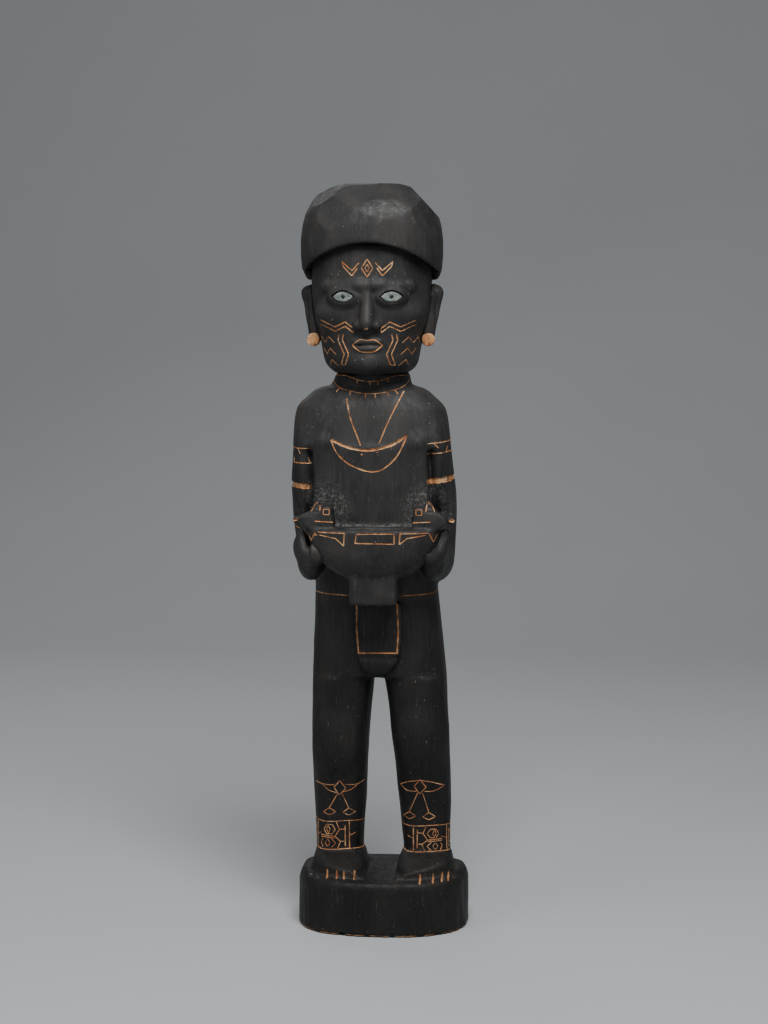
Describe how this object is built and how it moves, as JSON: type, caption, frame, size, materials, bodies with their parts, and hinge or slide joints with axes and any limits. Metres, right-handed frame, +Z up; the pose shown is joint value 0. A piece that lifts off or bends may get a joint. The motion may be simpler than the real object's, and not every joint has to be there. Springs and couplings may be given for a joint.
{
  "type": "carved ancestor figure",
  "caption": "Standing carved wooden ancestor figure on its own base, holding a bowl at the waist; free-standing display sculpture with shell-inlaid eyes.",
  "frame": {"origin": "centre of the base's flat underside", "axes": "+Z up along the figure, -Y out of its front, +X to the figure's own left"},
  "size_m": [0.1434, 0.1297, 0.6],
  "materials": {
    "blackened_wood": "matte charcoal-blackened softwood with cut lines showing the pale wood",
    "bare_wood": "bare knife-cut orange-brown wood",
    "pearl_shell": "polished pearl shell",
    "nut_putty": "matte black nut putty",
    "pupil_resin": "dark resin, half gloss"
  },
  "bodies": {
    "root": {"base_block": "blackened_wood", "right_foot": "blackened_wood", "left_foot": "blackened_wood", "right_leg": "blackened_wood", "left_leg": "blackened_wood", "pelvis": "blackened_wood", "loincloth_flap": "blackened_wood", "torso": "blackened_wood", "right_arm": "blackened_wood", "left_arm": "blackened_wood", "right_hand": "blackened_wood", "left_hand": "blackened_wood", "bowl": "blackened_wood", "bowl_foot": "blackened_wood", "right_fish": "blackened_wood", "left_fish": "blackened_wood", "neck": "blackened_wood", "head": "blackened_wood", "nose": "blackened_wood", "right_ear": "blackened_wood", "left_ear": "blackened_wood", "cap": "blackened_wood", "right_eye_putty": "nut_putty", "left_eye_putty": "nut_putty", "right_eye_shell": "pearl_shell", "left_eye_shell": "pearl_shell", "right_pupil": "pupil_resin", "left_pupil": "pupil_resin", "right_ear_plug": "bare_wood", "left_ear_plug": "bare_wood"}
  },
  "joints": []
}
